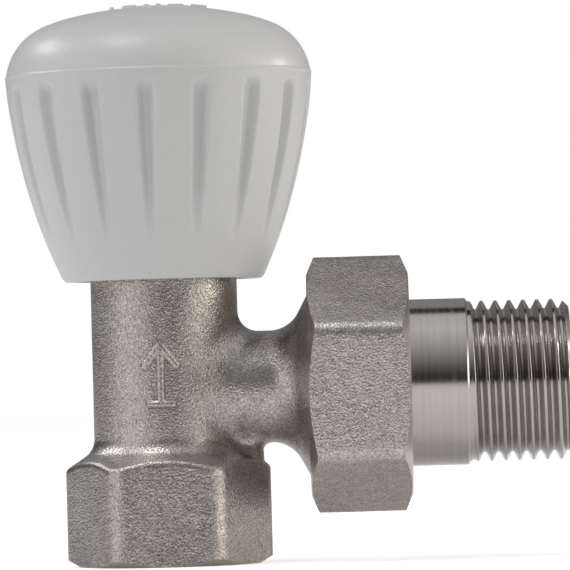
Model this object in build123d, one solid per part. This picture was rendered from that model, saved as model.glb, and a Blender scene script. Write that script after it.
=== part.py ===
from build123d import *
import math
import os

# Angle lockshield radiator valve, 1/2 inch, with a union tailpiece.
# Frame: Z is the inlet and spindle axis, +X is the outlet axis, and the origin is the centre
# of the inlet's end face. All sizes are in millimetres.
# The spindle screws up and down in the bonnet and carries a swivelling plug that closes on a
# seat in the forged body. A pull-off plastic cap shields the spindle and turns freely.
# Screw threads are plain cylinders at the thread's working diameter.

# ---------------------------------------------------------------- driving dimensions
Z_BRANCH = 22.9            # outlet axis above the inlet face

# forged body
HEX_AF = 24.0              # inlet hexagon across flats
HEX_ROUND = 2.5            # rounding of its corners
HEX_TOP_Z = 12.3           # height of the hexagon's corners
HEX_CORNER_R = 13.5
SHOULDER_SLOPE = 0.66      # rise of the shoulder cone per unit of radius
INLET_FACE_R = 11.85       # outer radius of the flat inlet face
INLET_CHAMFER_RISE = 1.0
NECK_R = 9.56
NECK_TOP_Z = 41.0
BRANCH_R = 7.3
FLARE_START_X = 16.2
FLARE_END_X = 19.4
UNION_THREAD_R = 13.20     # G 3/4 male thread, outside radius
UNION_END_X = 26.5
BLEND_NECK = 2.4           # forging radius between neck and branch
BLEND_FLARE = 2.6          # forging radius between branch and flare
WEB_X = 12.4               # reach of the web under the branch
WEB_HALF_WIDTH = 4.2
NOTCH_R = 1.28             # round notch between the web and the branch

INLET_THREAD_R = 9.316     # G 1/2 female thread, core radius
INLET_THREAD_TOP_Z = 11.0
INLET_MOUTH_R = 10.6
PASSAGE_R = 5.6
SEAT_TOP_Z = 16.8
SEAT_RING_R = 6.6
CHAMBER_FLOOR_Z = 16.0
CHAMBER_R = 7.6
BONNET_THREAD_BORE_R = 8.0
BONNET_THREAD_Z = 33.4
BONNET_SEAL_R = 8.6
BONNET_SEAL_Z = 39.9
SIDE_PORT_R = 5.4
UNION_BORE_R = 9.62        # bore that takes the tailpiece's nose and its seal
UNION_BORE_X = 24.2
UNION_CONE_R = 8.15
UNION_CONE_X = 21.4
UNION_PASSAGE_R = 7.0

# bonnet and gland
BONNET_Z0 = 33.6
BONNET_THREAD_R = 7.97
BONNET_HEX_AF = 17.0
BONNET_HEX_TOP_Z = 45.6
BONNET_COLLAR_R = 7.0
BONNET_TOP_Z = 54.4
SPINDLE_THREAD_BORE_R = 4.05
SPINDLE_SHANK_BORE_R = 3.06
GLAND_BORE_R = 4.6
GLAND_FLOOR_Z = 47.6
GLAND_NUT_R = 4.55
GLAND_NUT_Z0 = 52.3
GLAND_HEX_AF = 12.0
GLAND_TOP_Z = 57.2

# spindle and plug
SPINDLE_THREAD_R = 4.0
SPINDLE_THREAD_Z0, SPINDLE_THREAD_Z1 = 34.5, 41.2
SPINDLE_SHANK_R = 3.0
SPINDLE_STEM_R = 3.2
SPINDLE_TIP_R = 2.5
SPINDLE_TIP_Z = 22.7
SPINDLE_SQUARE = 4.2
SPINDLE_SQUARE_Z = 58.8
SPINDLE_TOP_Z = 63.5
CIRCLIP_Z0, CIRCLIP_Z1 = 57.4, 58.2
CLIP_Z = 26.6              # centre height of the plug's retaining clip
CLIP_WIRE = 1.0
WASHER_R = 7.0
WASHER_Z0, WASHER_Z1 = 16.85, 18.85

# union
NUT_X0, NUT_X1 = 18.65, 31.9
NUT_AF = 29.5
NUT_ROUND = 2.0
NUT_BORE_R = 13.25
NUT_LIP_X = 28.7
NUT_LIP_R = 11.05
NUT_TURN = 3.9             # degrees that the nut is turned at rest
NUT_CHAMFER_R = 14.44      # radius of the flat ring on each face
NUT_CHAMFER_SLOPE = 0.437
TAIL_NOSE_X = 21.9
TAIL_NOSE_R = 8.1
TAIL_FLANGE_R = 11.9
TAIL_FLANGE_X0, TAIL_FLANGE_X1 = 26.55, 28.6
TAIL_COLLAR_R = 10.88
TAIL_COLLAR_X = 39.4
TAIL_THREAD_R = 10.478     # G 1/2 male thread, outside radius
TAIL_END_X = 52.7
TAIL_BORE_R = 7.6
TAIL_LUGS = 4
TAIL_LUG_R = 6.5
TAIL_LUG_WIDTH = 2.4

# shield cap
CAP_WALL = 1.8
CAP_SEAM_Z = 63.7
CAP_APEX_Z = 72.9
CAP_SKIRT = [              # (radius, z) of the skirt, rim to seam
    (12.97, 37.15), (13.33, 37.9), (14.26, 40.03), (15.14, 42.1), (15.92, 44.2),
    (16.62, 46.3), (17.22, 48.4), (17.78, 50.5), (18.29, 52.6), (18.76, 54.67),
    (19.15, 56.76), (19.5, 58.85), (19.8, 60.9), (20.0, CAP_SEAM_Z),
]
CAP_DOME = [               # seam to apex
    (20.0, CAP_SEAM_Z), (19.77, 65.1), (19.44, 66.2), (18.93, 67.2), (18.22, 68.26),
    (17.22, 69.3), (15.56, 70.35), (12.57, 71.4), (8.0, 72.35), (4.0, 72.8), (0.0, CAP_APEX_Z),
]
CAP_FLUTES = 17
CAP_FLUTE_TURN = -3.4      # degrees from the front
CAP_FLUTE_Z0, CAP_FLUTE_Z1 = 42.6, 62.7
CAP_FLUTE_W0, CAP_FLUTE_W1 = 1.3, 2.5
CAP_FLUTE_DEPTH = 0.85
CAP_SOCKET_R0, CAP_SOCKET_R1 = 7.25, 9.4
CAP_SOCKET_Z = 46.6
GRIP_GROOVE_R = 8.35
GRIP_R0, GRIP_R1 = 7.04, 8.2
GRIP_Z0, GRIP_Z1 = 48.0, 49.4

OUT = "parts"
os.makedirs(OUT, exist_ok=True)


# ---------------------------------------------------------------- helpers
def lathe_z(points):
    """Solid of revolution about Z from (radius, z) points."""
    return revolve(Plane.XZ * make_face(Polyline(*points, close=True)), Axis.Z, 360)


def lathe_x(points, z=Z_BRANCH):
    """Solid of revolution about the outlet axis from (x, radius) points."""
    return Pos(0, 0, z) * revolve(Plane.XZ * make_face(Polyline(*points, close=True)), Axis.X, 360)


def rod_z(r, z0, z1, x=0.0, y=0.0):
    return Pos(x, y, (z0 + z1) / 2) * Cylinder(r, z1 - z0)


def tube_z(r0, r1, z0, z1):
    return lathe_z([(r0, z0), (r1, z0), (r1, z1), (r0, z1)])


def rod_x(r, x0, x1, z=Z_BRANCH):
    return Pos((x0 + x1) / 2, 0, z) * Rot(0, 90, 0) * Cylinder(r, x1 - x0)


def hexagon(af, round_r=0.0):
    """Hexagon with two flats square to Y and rounded corners."""
    flat = RegularPolygon(af / 2 / math.cos(math.pi / 6), 6, major_radius=True)
    return fillet(flat.vertices(), round_r) if round_r else flat


def hex_z(af, z0, z1, round_r=0.0):
    return Pos(0, 0, z0) * extrude(hexagon(af, round_r), z1 - z0)


def ring_z(major, minor, z):
    return Pos(0, 0, z) * Torus(major, minor)


def one(shape):
    """The shape's single solid."""
    solids = shape.solids()
    if len(solids) != 1:
        print("WARNING", len(solids), "solids", [round(s.volume, 3) for s in solids])
    return max(solids, key=lambda s: s.volume)


def save(shape, name, group=False):
    if group:
        shape = Compound(children=[s for s in shape])
    else:
        shape = one(shape)
    export_step(shape, f"{OUT}/{name}.step")


def blend(shape, radius, pick, label):
    """Fillets the picked edges, with a smaller radius where the full one can't be built."""
    edges = [e for e in shape.edges() if pick(e.bounding_box(), e)]
    for r in (radius, radius * 0.8, radius * 0.6, radius * 0.4):
        try:
            done = fillet(edges, r)
            if done.is_valid and done.volume > 0.8 * shape.volume:
                print("blend", label, len(edges), "edges, radius", round(r, 2))
                return done
        except Exception:
            pass
    print("blend", label, len(edges), "edges left sharp")
    return shape


def offset_profile(points, distance):
    """Points moved square to the profile, towards the axis side."""
    moved = []
    for i, (r, z) in enumerate(points):
        r0, z0 = points[max(i - 1, 0)]
        r1, z1 = points[min(i + 1, len(points) - 1)]
        length = math.hypot(r1 - r0, z1 - z0)
        moved.append((r - distance * (z1 - z0) / length, z + distance * (r1 - r0) / length))
    return moved


# ---------------------------------------------------------------- forged body
neck_join_z = HEX_TOP_Z + (HEX_CORNER_R - NECK_R) * SHOULDER_SLOPE
chamfer_out = INLET_FACE_R + INLET_CHAMFER_RISE / 0.577 + 0.3
hexagon_base = hex_z(HEX_AF, 0, 18, HEX_ROUND) & lathe_z([
    (0, 0), (INLET_FACE_R, 0), (chamfer_out, (chamfer_out - INLET_FACE_R) * 0.577),
    (chamfer_out, HEX_TOP_Z + (HEX_CORNER_R - chamfer_out) * SHOULDER_SLOPE),
    (6.0, HEX_TOP_Z + (HEX_CORNER_R - 6.0) * SHOULDER_SLOPE),
    (0, HEX_TOP_Z + (HEX_CORNER_R - 6.0) * SHOULDER_SLOPE),
])
stem = rod_z(NECK_R, 1.0, NECK_TOP_Z) + rod_x(BRANCH_R, 0, FLARE_START_X + 0.5)
stem = blend(stem, BLEND_NECK, lambda b, e: b.min.X > 5.5 and b.max.X < 10.5
             and abs(b.min.Z - Z_BRANCH + BRANCH_R) < 0.2, "neck to branch")
outer = hexagon_base + stem
flare_slope = (UNION_THREAD_R - BRANCH_R) / (FLARE_END_X - FLARE_START_X)
flare_angle = math.atan(flare_slope)
flare_back = BLEND_FLARE * math.tan(flare_angle / 2)
flare_profile = [(FLARE_START_X - flare_back - 0.4, 0), (FLARE_START_X - flare_back - 0.4, BRANCH_R)]
for i in range(9):
    a = flare_angle * i / 8
    flare_profile.append((FLARE_START_X - flare_back + BLEND_FLARE * math.sin(a),
                          BRANCH_R + BLEND_FLARE * (1 - math.cos(a))))
flare_profile += [
    (FLARE_END_X - 0.3, UNION_THREAD_R - 0.3 * flare_slope), (FLARE_END_X, UNION_THREAD_R),
    (UNION_END_X - 0.6, UNION_THREAD_R), (UNION_END_X, UNION_THREAD_R - 0.6), (UNION_END_X, 0),
]
outer = outer + lathe_x(flare_profile)
# web under the branch, with the round notch behind it
notch_z = Z_BRANCH - BRANCH_R - NOTCH_R
web = Pos(0, 0, 0) * extrude(
    Plane.XZ * make_face(Polyline((4, 11), (WEB_X + NOTCH_R * 0.6, 11), (WEB_X + NOTCH_R * 0.6, 13.0),
                                  (WEB_X + NOTCH_R, 16.6), (4, 16.6), close=True)),
    WEB_HALF_WIDTH, both=True)
web = web - Pos(WEB_X + NOTCH_R, 0, notch_z) * Rot(90, 0, 0) * Cylinder(NOTCH_R, 30)
web = web - Pos(WEB_X + NOTCH_R + 5, 0, notch_z - 5 + NOTCH_R) * Box(10, 30, 10)
web = web & (rod_x(BRANCH_R, 0, 16, Z_BRANCH) + hex_z(HEX_AF, 5, 16.61, HEX_ROUND))
outer = outer + web

inlet_cut = lathe_z([
    (0, -0.6), (INLET_MOUTH_R + 0.6, -0.6), (INLET_THREAD_R, INLET_MOUTH_R - INLET_THREAD_R),
    (INLET_THREAD_R, INLET_THREAD_TOP_Z), (PASSAGE_R, INLET_THREAD_TOP_Z + 1.9),
    (PASSAGE_R, SEAT_TOP_Z + 0.5), (0, SEAT_TOP_Z + 0.5),
])
chamber_cut = lathe_z([
    (0, SEAT_TOP_Z), (SEAT_RING_R, SEAT_TOP_Z), (SEAT_RING_R, CHAMBER_FLOOR_Z),
    (CHAMBER_R, CHAMBER_FLOOR_Z), (CHAMBER_R, BONNET_THREAD_Z - 0.4),
    (BONNET_THREAD_BORE_R, BONNET_THREAD_Z), (BONNET_THREAD_BORE_R, BONNET_SEAL_Z),
    (BONNET_SEAL_R, BONNET_SEAL_Z), (BONNET_SEAL_R, NECK_TOP_Z + 0.5), (0, NECK_TOP_Z + 0.5),
])
union_cut = lathe_x([
    (0, 0), (0, SIDE_PORT_R), (18.6, SIDE_PORT_R), (19.6, UNION_PASSAGE_R),
    (UNION_CONE_X, UNION_PASSAGE_R), (UNION_CONE_X, UNION_CONE_R), (UNION_BORE_X, UNION_BORE_R),
    (UNION_END_X + 0.5, UNION_BORE_R), (UNION_END_X + 0.5, 0),
])
arrow = fillet(
    (Pos(0, 2.7) * Rectangle(1.3, 5.4) + make_face(Polyline((-2.5, 5.0), (2.5, 5.0), (0, 8.8), close=True))).vertices(),
    0.25)
arrow = Pos(-0.4, 0, 18.9) * extrude(Plane.XZ * arrow, 12)
arrow = arrow & tube_z(NECK_R - 0.5, NECK_R + 0.35, 17, 30)
valve_body = outer + arrow - inlet_cut - chamber_cut - union_cut
save(valve_body, "valve_body")

# ---------------------------------------------------------------- bonnet and gland
bonnet_hex = hex_z(BONNET_HEX_AF, NECK_TOP_Z, BONNET_HEX_TOP_Z, 0.4) & lathe_z([
    (0, NECK_TOP_Z), (9.0, NECK_TOP_Z), (9.9, NECK_TOP_Z + 0.5), (9.9, BONNET_HEX_TOP_Z - 0.6),
    (8.8, BONNET_HEX_TOP_Z), (0, BONNET_HEX_TOP_Z),
])
bonnet = bonnet_hex + lathe_z([
    (0, BONNET_Z0), (BONNET_THREAD_R - 0.6, BONNET_Z0), (BONNET_THREAD_R, BONNET_Z0 + 0.6),
    (BONNET_THREAD_R, 39.8), (7.5, 39.8), (7.5, NECK_TOP_Z), (BONNET_COLLAR_R, NECK_TOP_Z),
    (BONNET_COLLAR_R, BONNET_TOP_Z - 0.6), (BONNET_COLLAR_R - 0.6, BONNET_TOP_Z), (0, BONNET_TOP_Z),
])
bonnet = bonnet - lathe_z([
    (0, BONNET_Z0 - 0.5), (SPINDLE_THREAD_BORE_R + 0.5, BONNET_Z0 - 0.5),
    (SPINDLE_THREAD_BORE_R + 0.5, BONNET_Z0), (SPINDLE_THREAD_BORE_R, BONNET_Z0 + 0.5),
    (SPINDLE_THREAD_BORE_R, BONNET_HEX_TOP_Z), (SPINDLE_SHANK_BORE_R, BONNET_HEX_TOP_Z),
    (SPINDLE_SHANK_BORE_R, GLAND_FLOOR_Z), (GLAND_BORE_R, GLAND_FLOOR_Z),
    (GLAND_BORE_R, BONNET_TOP_Z + 0.5), (0, BONNET_TOP_Z + 0.5),
])
save(bonnet, "bonnet")
save(ring_z(8.06, 0.49, 40.42), "bonnet_o_ring")
save(tube_z(SPINDLE_SHANK_BORE_R, 4.5, GLAND_FLOOR_Z, 48.2), "gland_lower_washer")
save([ring_z(3.8, 0.74, 48.95), ring_z(3.8, 0.74, 50.55)], "spindle_o_rings", group=True)
save(tube_z(SPINDLE_SHANK_BORE_R, 4.5, 51.35, GLAND_NUT_Z0), "gland_follower_washer")
gland_nut = (hex_z(GLAND_HEX_AF, BONNET_TOP_Z, GLAND_TOP_Z, 0.3) & lathe_z([
    (0, BONNET_TOP_Z), (7.2, BONNET_TOP_Z), (7.2, GLAND_TOP_Z - 0.55), (6.1, GLAND_TOP_Z), (0, GLAND_TOP_Z),
])) + rod_z(GLAND_NUT_R, GLAND_NUT_Z0, BONNET_TOP_Z + 0.5)
save(gland_nut - rod_z(SPINDLE_SHANK_BORE_R, 50, 60), "gland_nut")

# ---------------------------------------------------------------- spindle
spindle = lathe_z([
    (0, SPINDLE_TIP_Z), (SPINDLE_TIP_R - 0.4, SPINDLE_TIP_Z), (SPINDLE_TIP_R, SPINDLE_TIP_Z + 0.4),
    (SPINDLE_TIP_R, CLIP_Z - 0.6), (1.9, CLIP_Z - 0.6), (1.9, CLIP_Z + 0.6), (SPINDLE_TIP_R, CLIP_Z + 0.6),
    (SPINDLE_TIP_R, 29.3), (SPINDLE_STEM_R, 29.3), (SPINDLE_STEM_R, SPINDLE_THREAD_Z0 - 0.5),
    (SPINDLE_THREAD_R - 0.4, SPINDLE_THREAD_Z0), (SPINDLE_THREAD_R, SPINDLE_THREAD_Z0 + 0.4),
    (SPINDLE_THREAD_R, SPINDLE_THREAD_Z1 - 0.4), (SPINDLE_THREAD_R - 0.4, SPINDLE_THREAD_Z1),
    (SPINDLE_SHANK_R, SPINDLE_THREAD_Z1), (SPINDLE_SHANK_R, CIRCLIP_Z0), (2.45, CIRCLIP_Z0),
    (2.45, CIRCLIP_Z1), (SPINDLE_SHANK_R, CIRCLIP_Z1), (SPINDLE_SHANK_R, SPINDLE_TOP_Z - 0.5),
    (SPINDLE_SHANK_R - 0.6, SPINDLE_TOP_Z), (0, SPINDLE_TOP_Z),
])
square = Pos(0, 0, (SPINDLE_SQUARE_Z + SPINDLE_TOP_Z + 1) / 2) * Box(
    SPINDLE_SQUARE, SPINDLE_SQUARE, SPINDLE_TOP_Z + 1 - SPINDLE_SQUARE_Z)
spindle = spindle - (tube_z(1.2, 6.0, SPINDLE_SQUARE_Z, SPINDLE_TOP_Z + 1) - square)
save(spindle, "spindle")
circlip = tube_z(2.47, 4.3, CIRCLIP_Z0 + 0.02, CIRCLIP_Z1 - 0.02) - Pos(0, -4, 57.8) * Box(2.4, 8, 2)
save(circlip, "spindle_circlip")

# ---------------------------------------------------------------- plug
holder = lathe_z([
    (0, WASHER_Z1), (7.2, WASHER_Z1), (7.2, 20.6), (6.7, 21.1), (4.6, 21.1), (4.6, 28.4), (4.0, 29.0),
    (SPINDLE_TIP_R + 0.05, 29.0), (SPINDLE_TIP_R + 0.05, 22.4), (1.52, 22.4), (1.52, 20.6), (0, 20.6),
])
holder = holder - rod_z(1.52, 18, 21)
leg_y = 1.95 + CLIP_WIRE / 2
for side in (-1, 1):
    holder = holder - Pos(0, side * leg_y, CLIP_Z) * Box(12, CLIP_WIRE + 0.1, CLIP_WIRE + 0.1)
save(holder, "disc_holder")
clip = Pos(0.5, 0, CLIP_Z) * Box(10.2, 2 * leg_y + CLIP_WIRE, CLIP_WIRE)
clip = clip - Pos(-0.6, 0, CLIP_Z) * Box(10.4, 2 * leg_y - CLIP_WIRE, 3)
save(clip, "disc_retaining_clip")
save(tube_z(1.55, WASHER_R, WASHER_Z0, WASHER_Z1), "seat_washer")
save(tube_z(1.55, 3.6, 16.05, WASHER_Z0), "washer_plate")
screw = lathe_z([(0, 14.6), (2.3, 14.6), (2.6, 14.9), (2.6, 16.05), (1.5, 16.05), (1.5, 22.0), (0, 22.0)])
screw = screw - Pos(0, 0, 14.6) * Box(6, 0.7, 1.4)
save(screw, "washer_screw")

# ---------------------------------------------------------------- union nut and tailpiece
nut = extrude(hexagon(NUT_AF, NUT_ROUND), NUT_X1 - NUT_X0)      # flats square to Y, along Z
nut = Pos(NUT_X0, 0, Z_BRANCH) * Rot(0, 90, 0) * nut            # +Z to +X; corners to +Z and -Z
nut_corner_r = NUT_CHAMFER_R + 3.0
nut = nut & lathe_x([
    (NUT_X0, 0), (NUT_X0, NUT_CHAMFER_R), (NUT_X0 + 3.0 * NUT_CHAMFER_SLOPE, nut_corner_r),
    (NUT_X1 - 3.0 * NUT_CHAMFER_SLOPE, nut_corner_r), (NUT_X1, NUT_CHAMFER_R), (NUT_X1, 0),
])
nut = nut - lathe_x([
    (NUT_X0 - 0.5, 0), (NUT_X0 - 0.5, NUT_BORE_R + 0.9), (NUT_X0, NUT_BORE_R + 0.6),
    (NUT_X0 + 0.6, NUT_BORE_R), (NUT_LIP_X, NUT_BORE_R), (NUT_LIP_X, NUT_LIP_R),
    (NUT_X1 - 0.4, NUT_LIP_R), (NUT_X1 + 0.1, NUT_LIP_R + 0.5), (NUT_X1 + 0.1, 0),
])
nut = nut.rotate(Axis((0, 0, Z_BRANCH), (1, 0, 0)), NUT_TURN)
save(nut, "union_nut")

tail = lathe_x([
    (TAIL_NOSE_X, TAIL_BORE_R - 0.3), (TAIL_NOSE_X, TAIL_NOSE_R), (24.2, 9.3), (24.7, 9.3), (24.7, 7.95),
    (26.3, 7.95), (26.3, 9.3), (TAIL_FLANGE_X0, 9.3), (TAIL_FLANGE_X0, TAIL_FLANGE_R - 0.2),
    (TAIL_FLANGE_X0 + 0.2, TAIL_FLANGE_R), (TAIL_FLANGE_X1 - 0.2, TAIL_FLANGE_R),
    (TAIL_FLANGE_X1, TAIL_FLANGE_R - 0.2), (TAIL_FLANGE_X1, TAIL_COLLAR_R),
    (TAIL_COLLAR_X - 0.2, TAIL_COLLAR_R), (TAIL_COLLAR_X, TAIL_COLLAR_R - 0.2),
    (TAIL_COLLAR_X, TAIL_THREAD_R), (TAIL_END_X - 0.9, TAIL_THREAD_R), (TAIL_END_X, TAIL_THREAD_R - 0.9),
    (TAIL_END_X, TAIL_BORE_R + 0.3), (TAIL_END_X - 0.3, TAIL_BORE_R), (27.5, TAIL_BORE_R),
    (26.9, TAIL_BORE_R - 0.9), (TAIL_NOSE_X, TAIL_BORE_R - 0.9),
])
lug_ring = lathe_x([(40.0, TAIL_LUG_R), (40.0, TAIL_BORE_R + 0.2), (50.7, TAIL_BORE_R + 0.2), (50.7, TAIL_LUG_R)])
for i in range(TAIL_LUGS):
    lug = Pos(45, 0, Z_BRANCH) * Rot(i * 360 / TAIL_LUGS + 45, 0, 0) * Pos(0, 0, 8) * Box(12, TAIL_LUG_WIDTH, 8)
    tail = tail + (lug_ring & lug)
save(tail, "tailpiece")
save(Pos(25.5, 0, Z_BRANCH) * Rot(0, 90, 0) * Torus(8.77, 0.79), "tailpiece_o_ring")

# ---------------------------------------------------------------- shield cap and its grip ring
inner_skirt = offset_profile(CAP_SKIRT[1:], CAP_WALL)
inner_dome = offset_profile(CAP_DOME[1:-1], CAP_WALL)
rim_inner = (CAP_SKIRT[0][0] - CAP_WALL * 0.92, CAP_SKIRT[0][1])
outer_skirt_line = Spline(*CAP_SKIRT)
outer_dome_line = Spline(*CAP_DOME, tangents=[(-0.05, 1), (-1, 0)])
profile = outer_skirt_line + outer_dome_line + Polyline((0, CAP_APEX_Z), (0, CAP_APEX_Z - CAP_WALL))
inner_points = [rim_inner] + inner_skirt[:-1] + inner_dome + [(0, CAP_APEX_Z - CAP_WALL)]
profile = profile + Polyline(*reversed(inner_points)) + Line(rim_inner, CAP_SKIRT[0])
cap = revolve(Plane.XZ * make_face(profile), Axis.Z, 360)
ceiling_z = 70.9
socket = tube_z(CAP_SOCKET_R0, CAP_SOCKET_R1, CAP_SOCKET_Z, ceiling_z)
socket = socket - lathe_z([
    (0, CAP_SOCKET_Z - 0.2), (CAP_SOCKET_R0 + 0.6, CAP_SOCKET_Z - 0.2), (CAP_SOCKET_R0, CAP_SOCKET_Z + 0.5),
    (CAP_SOCKET_R0, CAP_SOCKET_Z + 0.6), (0, CAP_SOCKET_Z + 0.6),
]) - tube_z(CAP_SOCKET_R0 - 0.2, GRIP_GROOVE_R, GRIP_Z0 - 0.1, GRIP_Z1 + 0.1)
core = revolve(Plane.XZ * make_face(
    outer_skirt_line + outer_dome_line + Polyline((0, CAP_APEX_Z), (0, CAP_SKIRT[0][1]), CAP_SKIRT[0])), Axis.Z, 360)
cap = cap + (socket & core)
# flutes: tapered slots whose floor is a straight line that runs out into the skirt's curve
floor_r0 = 15.35 - 0.06
floor_r1 = 19.94 - CAP_FLUTE_DEPTH
lean = math.atan2(floor_r1 - floor_r0, CAP_FLUTE_Z1 - CAP_FLUTE_Z0)
length = math.hypot(floor_r1 - floor_r0, CAP_FLUTE_Z1 - CAP_FLUTE_Z0)
slot_plane = Plane(origin=(0, -floor_r0, CAP_FLUTE_Z0), x_dir=(1, 0, 0),
                   z_dir=(0, -math.cos(lean), -math.sin(lean)))
slot = fillet(make_face(Polyline(
    (-CAP_FLUTE_W0 / 2, 0), (CAP_FLUTE_W0 / 2, 0), (CAP_FLUTE_W1 / 2, length), (-CAP_FLUTE_W1 / 2, length),
    close=True)).vertices(), 0.5)
cutter = extrude(slot_plane * slot, 3.0)
cutters = [Rot(0, 0, CAP_FLUTE_TURN + i * 360 / CAP_FLUTES) * cutter for i in range(CAP_FLUTES)]
cap = cap - cutters
# raised marks on the crown: a turning arrow's arc and two dots
marks = (tube_z(4.6, 5.8, 71.5, 73.25) & (Pos(0, -6, 72) * Box(7.6, 8, 6)))
marks = marks + rod_z(0.8, 71.5, 73.25, -5.4, 0.6) + rod_z(0.8, 71.5, 73.25, 5.4, 0.6)
cap = cap + marks
save(cap, "shield_cap")
grip = tube_z(GRIP_R0, GRIP_R1, GRIP_Z0, GRIP_Z1) - Pos(0, 8, 48.7) * Box(1.6, 4, 3)
save(grip, "cap_grip_ring")
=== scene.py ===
import bpy
import math
import numpy as np
from mathutils import Matrix, Vector


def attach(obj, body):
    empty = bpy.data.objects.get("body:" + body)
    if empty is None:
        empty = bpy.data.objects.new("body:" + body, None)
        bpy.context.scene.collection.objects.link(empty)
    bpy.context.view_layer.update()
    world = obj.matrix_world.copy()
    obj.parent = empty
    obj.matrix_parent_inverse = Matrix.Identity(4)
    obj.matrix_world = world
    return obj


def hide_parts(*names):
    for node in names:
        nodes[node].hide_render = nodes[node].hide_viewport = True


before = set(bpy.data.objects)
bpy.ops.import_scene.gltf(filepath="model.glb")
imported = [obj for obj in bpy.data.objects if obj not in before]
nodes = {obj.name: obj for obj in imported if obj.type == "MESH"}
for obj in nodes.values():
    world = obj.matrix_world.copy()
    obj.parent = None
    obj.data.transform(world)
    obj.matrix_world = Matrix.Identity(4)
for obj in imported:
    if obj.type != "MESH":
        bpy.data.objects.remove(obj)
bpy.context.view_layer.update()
MM = 0.001
ZB = 22.9                     # outlet axis above the inlet face, mm

# ------------------------------------------------------------------ mesh helpers


def make_object(name, verts, faces, materials=(), smooth=True):
    """A mesh object from vertices in millimetres."""
    mesh = bpy.data.meshes.new(name)
    verts = np.asarray(verts, dtype=np.float64) * MM
    mesh.from_pydata([tuple(v) for v in verts], [], [tuple(int(i) for i in f) for f in faces])
    mesh.validate()
    mesh.update()
    for m in materials:
        mesh.materials.append(m)
    if smooth:
        mesh.polygons.foreach_set("use_smooth", [True] * len(mesh.polygons))
    obj = bpy.data.objects.new(name, mesh)
    bpy.context.scene.collection.objects.link(obj)
    return obj


def quads_object(name, verts, quads, materials=()):
    """Faster path for large quad meshes given as arrays."""
    mesh = bpy.data.meshes.new(name)
    verts = (np.asarray(verts, dtype=np.float64) * MM).astype(np.float32)
    quads = np.asarray(quads, dtype=np.int32)
    mesh.vertices.add(len(verts))
    mesh.vertices.foreach_set("co", verts.ravel())
    mesh.loops.add(quads.size)
    mesh.loops.foreach_set("vertex_index", quads.ravel())
    mesh.polygons.add(len(quads))
    mesh.polygons.foreach_set("loop_start", np.arange(0, quads.size, 4, dtype=np.int32))
    mesh.polygons.foreach_set("use_smooth", np.ones(len(quads), dtype=bool))
    mesh.update(calc_edges=True)
    mesh.validate()
    for m in materials:
        mesh.materials.append(m)
    obj = bpy.data.objects.new(name, mesh)
    bpy.context.scene.collection.objects.link(obj)
    return obj


def weld(obj, dist_mm=0.0005):
    import bmesh
    bm = bmesh.new()
    bm.from_mesh(obj.data)
    bmesh.ops.remove_doubles(bm, verts=bm.verts, dist=dist_mm * MM)
    bmesh.ops.dissolve_degenerate(bm, edges=bm.edges, dist=dist_mm * MM * 0.5)
    bmesh.ops.recalc_face_normals(bm, faces=bm.faces)
    bm.to_mesh(obj.data)
    bm.free()
    obj.data.update()


def boolean(target, cutter, operation="DIFFERENCE", keep=False, solver="MANIFOLD"):
    m = target.modifiers.new("cut", "BOOLEAN")
    m.operation = operation
    m.object = cutter
    m.solver = solver
    m.material_mode = "TRANSFER"
    bpy.context.view_layer.update()
    dg = bpy.context.evaluated_depsgraph_get()
    before = len(target.data.polygons)
    mesh = bpy.data.meshes.new_from_object(target.evaluated_get(dg), preserve_all_data_layers=True, depsgraph=dg)
    target.modifiers.remove(m)
    if len(mesh.polygons) < 4 or (len(mesh.polygons) == before and len(mesh.vertices) == len(target.data.vertices)):
        print("BOOLEAN FAILED", target.name, cutter.name, before, len(mesh.polygons))
        bpy.data.meshes.remove(mesh)
    else:
        old = target.data
        target.data = mesh
        mesh.name = target.name
        bpy.data.meshes.remove(old)
    if not keep:
        bpy.data.objects.remove(cutter, do_unlink=True)


def sharpen(obj, degrees=32):
    obj.data.set_sharp_from_angle(angle=math.radians(degrees))


def lathe(name, points, axis="z", segments=160, z0=0.0, materials=()):
    """Closed solid of revolution from (axial position, radius) points; both ends lie on the axis."""
    n = segments
    verts, faces = [], []
    rings = []
    for a, r in points:
        if r <= 1e-9:
            rings.append([len(verts)])
            verts.append((a, 0.0, 0.0))
        else:
            start = len(verts)
            for j in range(n):
                t = 2 * math.pi * j / n
                verts.append((a, r * math.cos(t), r * math.sin(t)))
            rings.append(list(range(start, start + n)))
    for k in range(len(rings) - 1):
        A, B = rings[k], rings[k + 1]
        for j in range(n):
            j2 = (j + 1) % n
            if len(A) == 1 and len(B) == 1:
                continue
            if len(A) == 1:
                faces.append((A[0], B[j], B[j2]))
            elif len(B) == 1:
                faces.append((A[j], B[0], A[j2]))
            else:
                faces.append((A[j], B[j], B[j2], A[j2]))
    V = np.array(verts)
    if axis == "z":
        V = np.stack([V[:, 1], V[:, 2], V[:, 0]], axis=1)
    else:
        V = V + np.array([0, 0, z0])
    obj = make_object(name, V, faces, materials)
    weld(obj)
    return obj


# ------------------------------------------------------------------ signed distances, in millimetres


def sd_hex(x, y, apothem, rnd):
    a = apothem - rnd
    kx, ky, kz = -0.8660254, 0.5, 0.57735027
    px, py = np.abs(x), np.abs(y)
    d = 2 * np.minimum(kx * px + ky * py, 0)
    px = px - d * kx
    py = py - d * ky
    px = px - np.clip(px, -kz * a, kz * a)
    py = py - a
    return np.hypot(px, py) * np.sign(py) - rnd


def blend_union(a, b, r):
    return np.maximum(r, np.minimum(a, b)) - np.hypot(np.maximum(r - a, 0), np.maximum(r - b, 0))


def blend_cut(a, b, r):
    """Intersection with a rounded edge."""
    return np.minimum(-r, np.maximum(a, b)) + np.hypot(np.maximum(a + r, 0), np.maximum(b + r, 0))


def smoothstep(x, a, b):
    t = np.clip((x - a) / (b - a), 0, 1)
    return t * t * (3 - 2 * t)


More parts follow.
